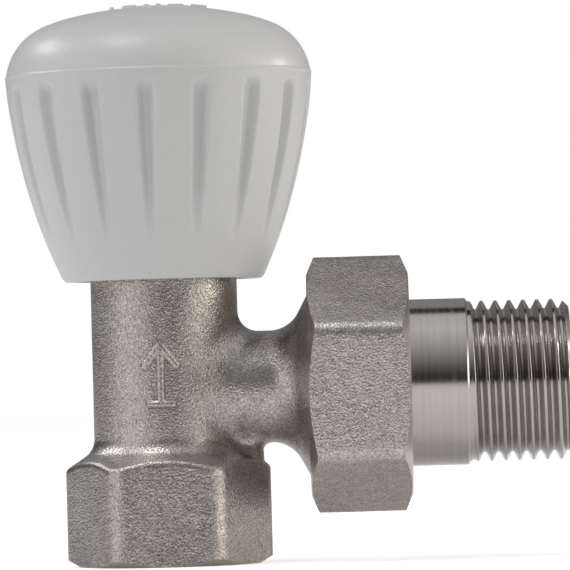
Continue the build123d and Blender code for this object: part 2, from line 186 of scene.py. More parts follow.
def body_distance(x, y, z):
    rho = np.hypot(x, y)
    base = sd_hex(x, y, 12.0, 3.1)
    shoulder = (z - (12.55 + (13.5 - rho) * 0.66)) / math.hypot(1, 0.66)
    base = blend_cut(base, shoulder, 0.4)
    base = np.maximum(base, -z - 1.2)
    neck = rho - 9.56
    neck = np.maximum(neck, z - 41.6)
    neck = np.maximum(neck, -z - 1.2)
    d = blend_union(base, neck, 1.15)
    # web under the branch
    qx = np.abs(x - 5.0) - (7.45 - 2.4)
    qy = np.abs(y) - (3.4 - 2.4)
    web = np.hypot(np.maximum(qx, 0), np.maximum(qy, 0)) + np.minimum(np.maximum(qx, qy), 0) - 2.4
    web = np.maximum(web, np.maximum(z - 17.0, 10.5 - z))
    web = web + 1.2 * (1 - smoothstep(z, 11.0, 13.2))
    d = blend_union(d, web, 0.08 + 1.42 * smoothstep(z, 12.6, 14.6))
    rb = np.hypot(y, z - ZB)
    branch = np.maximum(rb - 7.3, np.maximum(x - 19.0, -x))
    radius = 1.28 + 1.35 * smoothstep(z, 15.5, 21.0) * (1 - 0.45 * smoothstep(np.abs(y), 2.5, 7.0))
    d = blend_union(d, branch, radius)
    slope = (13.2 - 7.3) / (19.4 - 16.2)
    flare = (rb - (7.3 + (x - 16.2) * slope)) / math.hypot(1, slope)
    flare = np.maximum(flare, x - 19.9)
    flare = np.maximum(flare, rb - 12.6)
    flare = np.maximum(flare, 10.0 - x)
    d = blend_union(d, flare, 2.1)
    d = np.maximum(d, np.maximum(-z - 1.2, np.maximum(z - 41.6, x - 19.9)))
    # slight unevenness of the forging
    d = d + 0.035 * np.sin(x * 0.55 + 1.3) * np.sin(y * 0.6 + 0.4) * np.sin(z * 0.5 + 2.0)
    return d


def surface_net(f, lo, hi, h):
    lo, hi = np.array(lo, float), np.array(hi, float)
    n = np.ceil((hi - lo) / h).astype(int) + 1
    ax = [lo[i] + h * np.arange(n[i]) for i in range(3)]
    D = np.empty(n, dtype=np.float32)
    step = 24
    for i in range(0, n[0], step):
        X, Y, Z = np.meshgrid(ax[0][i:i + step], ax[1], ax[2], indexing="ij")
        D[i:i + step] = f(X, Y, Z)
    S = D < 0
    count = np.zeros(n - 1, dtype=np.int8)
    for dx in (0, 1):
        for dy in (0, 1):
            for dz in (0, 1):
                count += S[dx:n[0] - 1 + dx, dy:n[1] - 1 + dy, dz:n[2] - 1 + dz]
    mixed = (count > 0) & (count < 8)
    cells = np.argwhere(mixed)
    index = -np.ones(mixed.shape, dtype=np.int64)
    index[mixed] = np.arange(len(cells))
    corners = [(a, b, c) for a in (0, 1) for b in (0, 1) for c in (0, 1)]
    vals = np.stack([D[cells[:, 0] + a, cells[:, 1] + b, cells[:, 2] + c] for a, b, c in corners], axis=1)
    acc = np.zeros((len(cells), 3))
    num = np.zeros(len(cells))
    for p in range(8):
        for q in range(p + 1, 8):
            diff = [abs(corners[p][k] - corners[q][k]) for k in range(3)]
            if sum(diff) != 1:
                continue
            da, db = vals[:, p], vals[:, q]
            cross = (da < 0) != (db < 0)
            t = np.where(cross, da / np.where(cross, da - db, 1), 0)
            pt = np.array(corners[p])[None] + t[:, None] * (np.array(corners[q]) - np.array(corners[p]))[None]
            acc += np.where(cross[:, None], pt, 0)
            num += cross
    verts = lo + (cells + acc / num[:, None]) * h
    quads = []
    for k in range(3):
        u, v = (k + 1) % 3, (k + 2) % 3
        sl_a = [slice(None)] * 3
        sl_b = [slice(None)] * 3
        sl_a[k] = slice(0, -1)
        sl_b[k] = slice(1, None)
        A, B = S[tuple(sl_a)], S[tuple(sl_b)]
        change = A != B
        e = np.argwhere(change)
        ok = (e[:, u] > 0) & (e[:, v] > 0) & (e[:, u] < n[u] - 1) & (e[:, v] < n[v] - 1)
        e = e[ok]
        inside_first = A[e[:, 0], e[:, 1], e[:, 2]]

        def cell(du, dv):
            c = e.copy()
            c[:, u] += du
            c[:, v] += dv
            return index[c[:, 0], c[:, 1], c[:, 2]]
        q = np.stack([cell(-1, -1), cell(0, -1), cell(0, 0), cell(-1, 0)], axis=1)
        q[~inside_first] = q[~inside_first][:, ::-1]
        quads.append(q)
    quads = np.concatenate(quads)
    for _ in range(4):
        e = 0.02
        x, y, z = verts.T
        g = np.stack([f(x + e, y, z) - f(x - e, y, z), f(x, y + e, z) - f(x, y - e, z),
                      f(x, y, z + e) - f(x, y, z - e)], axis=1) / (2 * e)
        d = f(x, y, z)
        g2 = np.maximum((g * g).sum(axis=1), 0.2)
        step_v = g * (d / g2)[:, None]
        length = np.linalg.norm(step_v, axis=1)
        scale = np.minimum(1, 0.5 * h / np.maximum(length, 1e-9))
        verts = verts - step_v * scale[:, None]
    return verts, quads


# ------------------------------------------------------------------ screw threads


def thread_radius(u, r_major, depth, round_mm, pitch):
    """Radius at phase u (in turns, crest at whole numbers) of a 55 degree pipe thread."""
    v = np.abs(u - np.round(u)) * pitch            # distance from the crest's middle
    h_sharp = 0.960491 * pitch
    r_line = (r_major - depth / 2) + h_sharp / 2 - v * (2 * h_sharp / pitch)
    k = round_mm
    hi, lo = r_major, r_major - depth
    # rounded clamps at the crest and the root
    top = -k * np.logaddexp(-(r_line) / k * 1.0, -hi / k)
    return k * np.logaddexp(top / k, lo / k)


def thread_columns(x0, x1, pitch, n, m, radius_at):
    """Sheared grid that follows the helix. radius_at(x, theta) gives the radius. Returns points (n, K, 2) of x, r."""
    dx = pitch / m
    K = int(math.ceil((x1 - x0 + pitch) / dx)) + 1
    j = np.arange(n)[:, None]
    k = np.arange(K)[None, :]
    x = np.clip(x0 - pitch + k * dx + pitch * j / n, x0, x1)
    theta = 2 * np.pi * j / n + 0 * k
    return x, radius_at(x, theta), K, m


def threaded_solid(name, x0, x1, pitch, radius_at, head=(), tail=(), n=144, m=28, axis="x", z0=ZB, materials=()):
    """Closed solid: head points (x, r) from the axis up to x0, the threaded stretch, then tail points back to the axis.
    Points with r = 0 close on the axis. Runs along +x, angle measured from +y towards +z."""
    x, r, K, m = thread_columns(x0, x1, pitch, n, m, radius_at)
    verts, faces = [], []
    th = 2 * np.pi * np.arange(n) / n
    cos, sin = np.cos(th), np.sin(th)

    def ring(a, rad):
        start = len(verts)
        if rad <= 1e-9:
            verts.append((a, 0.0, 0.0))
            return [start] * n
        for j in range(n):
            verts.append((a, rad * cos[j], rad * sin[j]))
        return list(range(start, start + n))

    def skin(A, B):
        for j in range(n):
            j2 = (j + 1) % n
            f = [A[j], B[j], B[j2], A[j2]]
            g = [v for i, v in enumerate(f) if v not in f[:i]]
            if len(g) >= 3:
                faces.append(tuple(g))
    prev = None
    for a, rad in head:
        cur = ring(a, rad)
        if prev is not None:
            skin(prev, cur)
        prev = cur
    base = len(verts)
    for j in range(n):
        for k in range(K):
            verts.append((x[j, k], r[j, k] * cos[j], r[j, k] * sin[j]))

    def at(j, k):
        return base + j * K + min(k, K - 1)
    first = [at(j, 0) for j in range(n)]
    if prev is not None:
        skin(prev, first)
    for j in range(n):
        j2 = (j + 1) % n
        off = m if j == n - 1 else 0
        for k in range(K - 1):
            f = [at(j, k), at(j, k + 1), at(j2, k + 1 + off), at(j2, k + off)]
            g = [v for i, v in enumerate(f) if v not in f[:i]]
            if len(g) >= 3:
                faces.append(tuple(g))
    # the seam column's first m samples of column 0 all lie on x0
    prev = [at(j, K - 1) for j in range(n)]
    for a, rad in tail:
        cur = ring(a, rad)
        skin(prev, cur)
        prev = cur
    V = np.array(verts)
    if axis == "z":
        V = np.stack([V[:, 1], V[:, 2], V[:, 0]], axis=1)
    else:
        V = V + np.array([0, 0, z0])
    obj = make_object(name, V, faces, materials)
    weld(obj, 0.0008)
    return obj


# ------------------------------------------------------------------ node helpers


class Nodes:
    def __init__(self, name):
        self.mat = bpy.data.materials.new(name)
        self.mat.use_nodes = True
        self.t = self.mat.node_tree
        self.t.nodes.clear()
        self.out = self.t.nodes.new("ShaderNodeOutputMaterial")
        self.bsdf = self.t.nodes.new("ShaderNodeBsdfPrincipled")
        self.t.links.new(self.bsdf.outputs[0], self.out.inputs[0])
        self.coord = self.t.nodes.new("ShaderNodeTexCoord").outputs["Object"]

    def link(self, a, b):
        self.t.links.new(a, b)

    def set(self, **kw):
        for k, v in kw.items():
            self.bsdf.inputs[k.replace("_", " ")].default_value = v

    def mapping(self, scale, src=None):
        n = self.t.nodes.new("ShaderNodeMapping")
        n.inputs["Scale"].default_value = scale
        self.link(src or self.coord, n.inputs["Vector"])
        return n.outputs[0]

    def noise(self, scale, detail=2.0, rough=0.5, vector=None, distortion=0.0):
        n = self.t.nodes.new("ShaderNodeTexNoise")
        n.inputs["Scale"].default_value = scale
        n.inputs["Detail"].default_value = detail
        n.inputs["Roughness"].default_value = rough
        n.inputs["Distortion"].default_value = distortion
        self.link(vector or self.coord, n.inputs["Vector"])
        return n.outputs["Fac"]

    def voronoi(self, scale, feature="F1", vector=None, smooth=None):
        n = self.t.nodes.new("ShaderNodeTexVoronoi")
        n.feature = feature
        n.inputs["Scale"].default_value = scale
        if smooth is not None:
            n.inputs["Smoothness"].default_value = smooth
        self.link(vector or self.coord, n.inputs["Vector"])
        return n.outputs["Distance"]

    def noise1d(self, w, scale, detail=2.0):
        n = self.t.nodes.new("ShaderNodeTexNoise")
        n.noise_dimensions = "1D"
        n.inputs["Scale"].default_value = scale
        n.inputs["Detail"].default_value = detail
        self.link(w, n.inputs["W"])
        return n.outputs["Fac"]

    def math(self, op, a, b=0.5, c=None):
        n = self.t.nodes.new("ShaderNodeMath")
        n.operation = op
        for i, v in enumerate((a, b, c)):
            if v is None:
                continue
            if hasattr(v, "is_output"):
                self.link(v, n.inputs[i])
            else:
                n.inputs[i].default_value = v
        return n.outputs[0]

    def ramp(self, fac, stops):
        n = self.t.nodes.new("ShaderNodeValToRGB")
        el = n.color_ramp.elements
        while len(el) > 1:
            el.remove(el[0])
        el[0].position = stops[0][0]
        el[0].color = self._c(stops[0][1])
        for p, c in stops[1:]:
            e = el.new(p)
            e.color = self._c(c)
        self.link(fac, n.inputs[0])
        return n.outputs[0]

    @staticmethod
    def _c(c):
        if isinstance(c, (int, float)):
            return (c, c, c, 1)
        return (c[0], c[1], c[2], 1)

    def mix(self, fac, a, b):
        n = self.t.nodes.new("ShaderNodeMix")
        n.data_type = "RGBA"
        if hasattr(fac, "is_output"):
            self.link(fac, n.inputs[0])
        else:
            n.inputs[0].default_value = fac
        for i, v in ((6, a), (7, b)):
            if hasattr(v, "is_output"):
                self.link(v, n.inputs[i])
            else:
                n.inputs[i].default_value = self._c(v)
        return n.outputs[2]

    def bump(self, height, strength, distance, normal=None):
        n = self.t.nodes.new("ShaderNodeBump")
        n.inputs["Strength"].default_value = strength
        n.inputs["Distance"].default_value = distance
        self.link(height, n.inputs["Height"])
        if normal is not None:
            self.link(normal, n.inputs["Normal"])
        return n.outputs[0]

    def split(self, vector=None):
        n = self.t.nodes.new("ShaderNodeSeparateXYZ")
        self.link(vector or self.coord, n.inputs[0])
        return n.outputs[0], n.outputs[1], n.outputs[2]


def around_axis(m, axis, centre_z=0.0):
    """Position along the axis plus distance from it, which numbers the turning rings."""
    x, y, z = m.split()
    if axis == "x":
        dz = m.math("SUBTRACT", z, centre_z)
        r = m.math("SQRT", m.math("ADD", m.math("MULTIPLY", y, y), m.math("MULTIPLY", dz, dz)))
        return m.math("ADD", x, r)
    r = m.math("SQRT", m.math("ADD", m.math("MULTIPLY", x, x), m.math("MULTIPLY", y, y)))
    return m.math("ADD", z, r)


def forged_nickel(name="forged_nickel", grain=1.0, color=(0.52, 0.482, 0.458)):
    """Shot-blasted forging under nickel plate: grain of 0.15 to 0.4 mm with dark pits and bright flecks."""
    m = Nodes(name)
    fine = m.noise(4700, 1.0, 0.6)
    mid = m.noise(2300, 1.0, 0.5)
    bumps = m.voronoi(3500, "SMOOTH_F1", smooth=0.35)
    height = m.math("ADD", m.math("ADD", m.math("MULTIPLY", fine, 0.6), m.math("MULTIPLY", mid, 0.35)),
                    m.math("MULTIPLY", bumps, 0.7))
    broad = m.noise(150, 3.0, 0.55)
    tone = m.noise(900, 1.0, 0.5)
    c = color
    fleck = m.math("ADD", m.math("MULTIPLY", fine, 0.8), m.math("MULTIPLY", tone, 0.2))
    base = m.ramp(fleck, [(0.34, tuple(v * 0.52 for v in c)), (0.44, tuple(v * 0.87 for v in c)), (0.54, c),
                          (0.64, tuple(min(v * 1.36, 1) for v in c))])
    warm = m.ramp(fleck, [(0.34, (c[0] * 0.50, c[1] * 0.46, c[2] * 0.42)), (0.44, (c[0] * 0.86, c[1] * 0.83, c[2] * 0.79)),
                          (0.54, (c[0] * 1.01, c[1] * 0.98, c[2] * 0.94)), (0.64, (c[0] * 1.38, c[1] * 1.34, c[2] * 1.28))])
    base = m.mix(m.ramp(broad, [(0.42, 0.0), (0.66, 0.5)]), base, warm)
    m.link(base, m.bsdf.inputs["Base Color"])
    rough = m.ramp(m.math("ADD", m.math("MULTIPLY", fine, 0.6), m.math("MULTIPLY", broad, 0.4)),
                   [(0.35, 0.42), (0.65, 0.28)])
    m.link(rough, m.bsdf.inputs["Roughness"])
    m.set(Metallic=1.0)
    n1 = m.bump(broad, 0.2, 0.00012)
    n2 = m.bump(height, 0.7 * grain, 0.000078, n1)
    m.link(n2, m.bsdf.inputs["Normal"])
    return m.mat


def turned_metal(name, axis, color, centre_z=0.0, rough=(0.16, 0.24), lines=0.25, spot=0.08, painted_root_shade=None):
    m = Nodes(name)
    w = around_axis(m, axis, centre_z)
    fine = m.noise1d(w, 9000, 2.0)
    coarse = m.noise1d(w, 1500, 2.0)
    smear = m.noise(260, 3.0, 0.6)
    c = color
    base = m.ramp(m.math("ADD", m.math("MULTIPLY", fine, 0.45), m.math("ADD", m.math("MULTIPLY", smear, 0.25), m.math("MULTIPLY", coarse, 0.3))),
                  [(0.36, tuple(v * 0.86 for v in c)), (0.5, tuple(v * 0.96 for v in c)), (0.66, c)])
    if painted_root_shade is not None:
        # painted shade: darkening painted into the roots of the thread; the tuple is (deep radius, radius where the
        # shade ends, from, to) along the axis
        x, y, z = m.split()
        dz = m.math("SUBTRACT", z, centre_z)
        r_ = m.math("SQRT", m.math("ADD", m.math("MULTIPLY", y, y), m.math("MULTIPLY", dz, dz)))
        deep = m.math("DIVIDE", m.math("SUBTRACT", r_, painted_root_shade[0]), painted_root_shade[1] - painted_root_shade[0])
        deep = m.math("ADD", deep, m.math("MULTIPLY", m.math("SUBTRACT", smear, 0.5), 0.5))
        shade = m.ramp(deep, [(0.0, 0.14), (0.25, 0.05), (0.5, 0.0)])
        bore = m.ramp(m.math("DIVIDE", m.math("SUBTRACT", r_, 0.0086), 0.0004), [(0.0, 0.0), (1.0, 1.0)])
        where = m.ramp(m.math("DIVIDE", m.math("SUBTRACT", x, painted_root_shade[2]), painted_root_shade[3] - painted_root_shade[2]), [(0.0, 0.0), (1.0, 1.0)])
        root_shade_amount = m.math("MULTIPLY", m.math("MULTIPLY", shade, where), bore)
        # the dark colour of the painted shade in the thread roots
        base = m.mix(root_shade_amount, base, (0.10, 0.085, 0.07))
    m.link(base, m.bsdf.inputs["Base Color"])
    r = m.ramp(m.math("ADD", m.math("MULTIPLY", smear, 0.6), m.math("MULTIPLY", coarse, 0.4)),
               [(0.35, rough[0]), (0.65, rough[1])])
    m.link(r, m.bsdf.inputs["Roughness"])
    m.set(Metallic=1.0)
    n1 = m.bump(smear, spot, 0.00006)
    n2 = m.bump(m.math("ADD", m.math("MULTIPLY", fine, 0.7), m.math("MULTIPLY", coarse, 0.5)), lines, 0.00002, n1)
    m.link(n2, m.bsdf.inputs["Normal"])
    return m.mat


def moulded_plastic(name, color, rough=(0.34, 0.42), grain=0.12):
    m = Nodes(name)
    broad = m.noise(90, 2.0, 0.5)
    fine = m.noise(5200, 1.0, 0.5)
    specks = m.noise(1500, 1.0, 0.5)
    c = color
    base = m.ramp(m.math("ADD", m.math("MULTIPLY", broad, 0.6), m.math("MULTIPLY", specks, 0.4)),
                  [(0.1, tuple(v * 0.95 for v in c)), (0.9, tuple(min(v * 1.04, 1) for v in c))])
    m.link(base, m.bsdf.inputs["Base Color"])
    r = m.ramp(broad, [(0.1, rough[0]), (0.9, rough[1])])
    m.link(r, m.bsdf.inputs["Roughness"])
    m.set(IOR=1.5)
    n2 = m.bump(m.math("ADD", m.math("MULTIPLY", fine, 0.5), m.math("MULTIPLY", specks, 0.5)), grain, 0.00002)
    m.link(n2, m.bsdf.inputs["Normal"])
    return m


def rubber(name="seal_rubber"):
    m = Nodes(name)
    fine = m.noise(4000, 2.0, 0.6)
    broad = m.noise(500, 2.0, 0.5)
    m.link(m.ramp(broad, [(0.35, (0.018, 0.018, 0.019)), (0.7, (0.034, 0.033, 0.032))]), m.bsdf.inputs["Base Color"])
    m.link(m.ramp(fine, [(0.3, 0.48), (0.7, 0.62)]), m.bsdf.inputs["Roughness"])
    m.link(m.bump(fine, 0.2, 0.00002), m.bsdf.inputs["Normal"])
    return m.mat


NICKEL = (0.62, 0.575, 0.545)
M_FORGED = forged_nickel()
# painted light: a brighter copy of the same forged nickel for the nut, lifting its tone where the lamps leave it too
# dark
M_FORGED_NUT_BRIGHTENED = forged_nickel("forged_nickel_nut_brightened", color=(0.58, 0.540, 0.518))
# the tailpiece material paints shade into its thread roots
M_TAIL = turned_metal("turned_nickel", "x", (0.595, 0.560, 0.538), ZB * MM, rough=(0.14, 0.21), lines=0.2,
                      painted_root_shade=(0.00935, 0.0102, 0.0394, 0.0406))
M_CUT_X = turned_metal("cut_nickel_x", "x", NICKEL, ZB * MM, rough=(0.24, 0.32), lines=0.35)
M_CUT_Z = turned_metal("cut_nickel_z", "z", NICKEL, 0.0, rough=(0.24, 0.32), lines=0.35)
M_BRASS_Z = turned_metal("turned_brass", "z", (0.80, 0.60, 0.30), 0.0, rough=(0.18, 0.28), lines=0.3)
M_STEEL = turned_metal("spring_steel", "z", (0.50, 0.50, 0.51), 0.0, rough=(0.28, 0.38), lines=0.3)
M_RUBBER = rubber()
cap_nodes = moulded_plastic("cap_plastic", (0.668, 0.674, 0.678), rough=(0.27, 0.37))
M_CAP = cap_nodes.mat
M_PTFE = moulded_plastic("gland_plastic", (0.82, 0.81, 0.77), rough=(0.42, 0.5)).mat

# ------------------------------------------------------------------ camera

CAM_X, CAM_Y, CAM_Z = 24.0, -750.0, 25.0
AIM = Vector((15.86, 0.0, 36.1))
SCALE_MM = 74.5               # width of the picture at the valve's axis
ROLL = 1.5
cam_data = bpy.data.cameras.new("camera")
cam = bpy.data.objects.new("camera", cam_data)
bpy.context.scene.collection.objects.link(cam)
cam_pos = Vector((CAM_X, CAM_Y, CAM_Z))
look = AIM - cam_pos
cam_data.sensor_width = 36.0
cam_data.lens = 36.0 * look.length / SCALE_MM
cam_data.clip_start = 0.02
cam_data.clip_end = 20.0
rot = look.to_track_quat("-Z", "Y").to_matrix().to_4x4() @ Matrix.Rotation(math.radians(-ROLL), 4, "Z")
cam.matrix_world = Matrix.Translation(cam_pos * MM) @ rot
bpy.context.scene.camera = cam

# ------------------------------------------------------------------ forged body

H = 0.26
bv, bq = surface_net(body_distance, (-14.6, -13.4, -2.2), (20.7, 13.4, 42.5), H)
body = quads_object("valve_body_forged", bv, bq, [M_FORGED])

# flow arrow, raised on the front of the neck


def segment_distance(u, v, p, q):
    px, py, qx, qy = p[0], p[1], q[0], q[1]
    dx, dy = qx - px, qy - py
    t = np.clip(((u - px) * dx + (v - py) * dy) / (dx * dx + dy * dy), 0, 1)
    return np.hypot(u - px - t * dx, v - py - t * dy)


def arrow_lift(u, v):
    """Rounded strokes: a shaft and two head strokes, with a short bar across the foot."""
    d = segment_distance(u, v, (0, -4.0), (0, 3.5))
    for p, q in (((-2.1, 0.9), (0, 3.6)), ((2.1, 0.9), (0, 3.6)), ((-1.5, -4.0), (1.5, -4.0))):
        d = np.minimum(d, segment_distance(u, v, p, q))
    q = np.clip(d / 0.70, 0, 1)
    return -0.14 + 0.60 * (1 - q ** 2.2)


def raised_patch(name, width, height, step, surface, base_depth, top):
    """Closed patch over a width x height area: surface(u, v, lift) gives points, top(u, v) the lift in mm."""
    nu, nv = int(width / step) + 1, int(height / step) + 1
    u, v = np.meshgrid(np.linspace(-width / 2, width / 2, nu), np.linspace(-height / 2, height / 2, nv), indexing="ij")
    up = surface(u, v, top(u, v)).reshape(-1, 3)
    down = surface(u, v, np.full_like(u, -base_depth)).reshape(-1, 3)
    idx = np.arange(nu * nv).reshape(nu, nv)
    a, b, c, d = idx[:-1, :-1].ravel(), idx[1:, :-1].ravel(), idx[1:, 1:].ravel(), idx[:-1, 1:].ravel()
    off = nu * nv
    quads = [np.stack([a, b, c, d], 1), np.stack([a + off, d + off, c + off, b + off], 1)]
    edge = np.concatenate([idx[:, 0], idx[-1, 1:], idx[::-1, -1][1:], idx[0, ::-1][1:-1]])
    nxt = np.roll(edge, -1)
    quads.append(np.stack([edge + off, nxt + off, nxt, edge], 1))
    obj = quads_object(name, np.concatenate([up, down]), np.concatenate(quads))
    weld(obj)
    return obj


def neck_surface(u, v, lift):
    a = (u - 0.4) / 9.56
    r = 9.56 + lift
    return np.stack([r * np.sin(a), -r * np.cos(a), 25.0 + v], axis=-1)


arrow = raised_patch("arrow", 6.4, 9.6, 0.08, neck_surface, 0.6,
                     arrow_lift)
arrow.data.materials.append(M_FORGED)
boolean(body, arrow, "UNION")

# union thread, G 3/4, at the end of the body
P_UNION = 1.8143
P_TAIL = 1.8143
TWO_PI = 2 * math.pi


def union_thread(x, theta, grow=0.0):
    u = (x - 20.0) / P_UNION - theta / TWO_PI
    r = thread_radius(u, 13.2 + grow, 1.162, 0.035, P_UNION)
    return r


def body_union_radius(x, theta):
    r = union_thread(x, theta)
    r = np.minimum(r, 13.2 - (x - 25.6) * 1.0)                 # chamfered end
    fade = smoothstep(x, 19.9, 20.9)
    return (12.5 * (1 - fade) + r * fade)


N_TH = 160
M_TH = 28
union_end = threaded_solid("union_end", 19.7, 26.5, P_UNION, body_union_radius,
                           head=[(18.9, 0), (18.9, 12.2), (19.7, 12.5)],
                           tail=[(26.5, 9.0), (26.5, 0)], n=N_TH, m=M_TH, materials=[M_CUT_X])
boolean(body, union_end, "UNION")

# turned inlet face and chamfer, trimmed neck
cut = lathe("cut_inlet_face", [(-4, 0), (-4, 17), (2.97, 17), (0.0, 11.85), (0.0, 0.0)], "z", materials=[M_CUT_Z])
boolean(body, cut)
cut = lathe("cut_neck_top", [(41.0, 0), (41.0, 9.1), (40.6, 9.5), (40.6, 13), (45, 13), (45, 0)], "z", materials=[M_CUT_Z])
boolean(body, cut)

# inlet: mouth chamfer and G 1/2 female thread, then passage, seat and chamber


def inlet_thread(z, theta):
    u = z / P_TAIL - theta / TWO_PI
    # the cutter is a male form: crests cut the wall to the major radius
    r = thread_radius(u, 10.478, 1.162, 0.035, P_TAIL)
    fade = 1 - smoothstep(z, 9.4, 11.0)
    return 9.316 + (r - 9.316) * fade


cutter = threaded_solid("cut_inlet_thread", -0.6, 11.0, P_TAIL, inlet_thread,
                        head=[(-0.6, 0)], tail=[(11.0, 0)], n=N_TH, m=M_TH, axis="z", materials=[M_CUT_Z])
boolean(body, cutter)
cut = lathe("cut_mouth", [(-1.0, 0), (-1.0, 12.1), (1.5, 9.6), (1.5, 0)], "z", materials=[M_CUT_Z])
boolean(body, cut)
cut = lathe("cut_passage", [(10.9, 0), (10.9, 9.316), (11.0, 9.316), (12.9, 5.6), (17.4, 5.6), (17.4, 0)], "z", materials=[M_CUT_Z])
boolean(body, cut)
cut = lathe("cut_chamber", [(16.8, 0), (16.8, 6.4), (16.6, 6.6), (16.0, 6.6), (16.0, 7.6), (33.0, 7.6), (33.4, 8.0), (39.9, 8.0),
                            (39.9, 8.6), (40.8, 8.6), (41.2, 9.0), (42.0, 9.0), (42.0, 0)], "z", materials=[M_CUT_Z])
boolean(body, cut)
cut = lathe("cut_union_bore", [(0, 0), (0, 5.4), (18.6, 5.4), (19.6, 7.0), (21.4, 7.0), (21.4, 8.15), (24.2, 9.62), (26.2, 9.62),
                               (26.7, 10.1), (28, 10.1), (28, 0)], "x", z0=ZB, materials=[M_CUT_X])
boolean(body, cut)
sharpen(body, 34)
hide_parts("valve_body")
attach(body, "housing")

# ------------------------------------------------------------------ union nut


def nut_blank():
    """Rounded hexagon prism, dense enough to keep its flats flat under smooth shading."""
    apothem, rnd = 14.75, 2.0
    pts = []
    corner_c = (apothem - rnd) / math.cos(math.pi / 6)
    steps = 6
    flat_n = 22
    for i in range(6):
        a0 = math.radians(60 * i)                    # corner direction, measured from +z
        cx, cz = corner_c * math.sin(a0), corner_c * math.cos(a0)
        arc = [(cx + rnd * math.sin(a0 + math.radians(t)), cz + rnd * math.cos(a0 + math.radians(t)))
               for t in np.linspace(-30, 30, steps + 1)]
        a1 = math.radians(60 * (i + 1))
        nx_, nz_ = corner_c * math.sin(a1), corner_c * math.cos(a1)
        start = arc[-1]
        end = (nx_ + rnd * math.sin(a1 - math.radians(30)), nz_ + rnd * math.cos(a1 - math.radians(30)))
        pts += arc
        for k in range(1, flat_n):
            t = k / flat_n
            pts.append((start[0] * (1 - t) + end[0] * t, start[1] * (1 - t) + end[1] * t))
    xs = np.linspace(18.3, 32.25, 31)
    turn = math.radians(3.9)
    n = len(pts)
    verts = []
    for x in xs:
        for y, z in pts:
            # forged flats are a touch uneven
            wob = 0.03 * math.sin(0.45 * x + 0.5 * y + 1.0) * math.sin(0.4 * z + 0.3 * y)
            s = 1 + wob / 15
            yy, zz = y * s, z * s
            # right-hand turn about +x
            Y = yy * math.cos(turn) - zz * math.sin(turn)
            Z = yy * math.sin(turn) + zz * math.cos(turn)
            verts.append((x, Y, ZB + Z))
    faces = []
    for i in range(len(xs) - 1):
        for j in range(n):
            j2 = (j + 1) % n
            faces.append((i * n + j, i * n + j2, (i + 1) * n + j2, (i + 1) * n + j))
    faces.append(tuple(range(n))[::-1])
    faces.append(tuple(range((len(xs) - 1) * n, len(xs) * n)))
    obj = make_object("union_nut_turned", verts, faces, [M_FORGED_NUT_BRIGHTENED])
    weld(obj)
    return obj


nut = nut_blank()
keep = lathe("nut_cones", [(18.65, 0), (18.65, 14.44), (18.65 + 3.2 * 0.437, 14.44 + 3.2), (31.9 - 3.2 * 0.437, 14.44 + 3.2),
                           (31.9, 14.44), (31.9, 0)], "x", z0=ZB, segments=220, materials=[M_CUT_X])
boolean(nut, keep, "INTERSECT")


def nut_thread(x, theta):
    return union_thread(x, theta, grow=0.10)


cutter = threaded_solid("cut_nut_thread", 17.5, 28.7, P_UNION, nut_thread, head=[(17.5, 0)], tail=[(28.7, 0)],
                        n=N_TH, m=M_TH, materials=[M_CUT_X])
boolean(nut, cutter)
cut = lathe("cut_nut_mouth", [(17.0, 0), (17.0, 15.2), (19.55, 12.65), (19.55, 0)], "x", z0=ZB, materials=[M_CUT_X])
boolean(nut, cut)
cut = lathe("cut_nut_lip", [(27.6, 0), (27.6, 13.3), (28.7, 13.3), (28.7, 11.05), (31.5, 11.05), (32.0, 11.55), (33, 11.55), (33, 0)],
            "x", z0=ZB, materials=[M_CUT_X])
boolean(nut, cut)
sharpen(nut, 22)
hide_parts("union_nut")
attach(nut, "nut")

# ------------------------------------------------------------------ tailpiece

TAIL_PHASE = 41.4 / P_TAIL - 0.25      # a crest passes the top of the tailpiece at x = 41.4


def tail_thread(x, theta):
    u = x / P_TAIL - theta / TWO_PI - TAIL_PHASE
    r = thread_radius(u, 10.478, 1.162, 0.03, P_TAIL)
    fade = smoothstep(x, 39.5, 40.7)
    r = 10.478 * (1 - fade) + r * fade - 0.25 * (1 - fade) * 0
    cone = 10.478 - np.maximum(x - 51.75, 0) * 1.0
    return np.minimum(r, cone)


head = [(21.9, 6.7), (21.9, 7.95), (22.05, 8.12), (24.1, 9.25), (24.25, 9.3), (24.65, 9.3), (24.7, 9.25), (24.7, 7.95),
        (26.3, 7.95), (26.3, 9.3), (26.55, 9.3), (26.55, 11.75), (26.7, 11.9), (28.45, 11.9), (28.6, 11.75), (28.6, 10.88),
        (29.6, 10.88), (30.6, 10.88), (31.6, 10.88), (32.6, 10.88), (33.6, 10.88), (34.6, 10.88), (35.6, 10.88),
        (36.6, 10.88), (37.6, 10.88), (38.6, 10.88), (39.2, 10.88), (39.4, 10.7), (39.4, 10.5)]
tail_pts = [(52.7, 7.95), (52.4, 7.6), (47.0, 7.6), (41.0, 7.6), (34.0, 7.6), (27.5, 7.6), (26.9, 6.7), (24.5, 6.7), (21.9, 6.7)]
tail = threaded_solid("tailpiece_threaded", 39.4, 52.7, P_TAIL, tail_thread, head=head, tail=tail_pts,
                      n=192, m=36, materials=[M_TAIL])
for i in range(4):
    a = math.radians(45 + 90 * i)
    pts = []
    for x in (40.0, 50.7):
        for r_, w in ((6.5, 1.05), (6.7, 1.2), (8.6, 1.2), (8.6, -1.2), (6.7, -1.2), (6.5, -1.05)):
            y = w * math.cos(a) - r_ * math.sin(a)
            z = w * math.sin(a) + r_ * math.cos(a)
            pts.append((x, y, ZB + z))
    fs = [(0, 1, 2, 3, 4, 5), (11, 10, 9, 8, 7, 6)] + [(k, 6 + k, 6 + (k + 1) % 6, (k + 1) % 6) for k in range(6)]
    lug = make_object(f"lug_{i}", pts, fs, [M_TAIL])
    weld(lug)
    boolean(tail, lug, "UNION")
sharpen(tail, 30)
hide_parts("tailpiece")
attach(tail, "tail")

# ------------------------------------------------------------------ shield cap

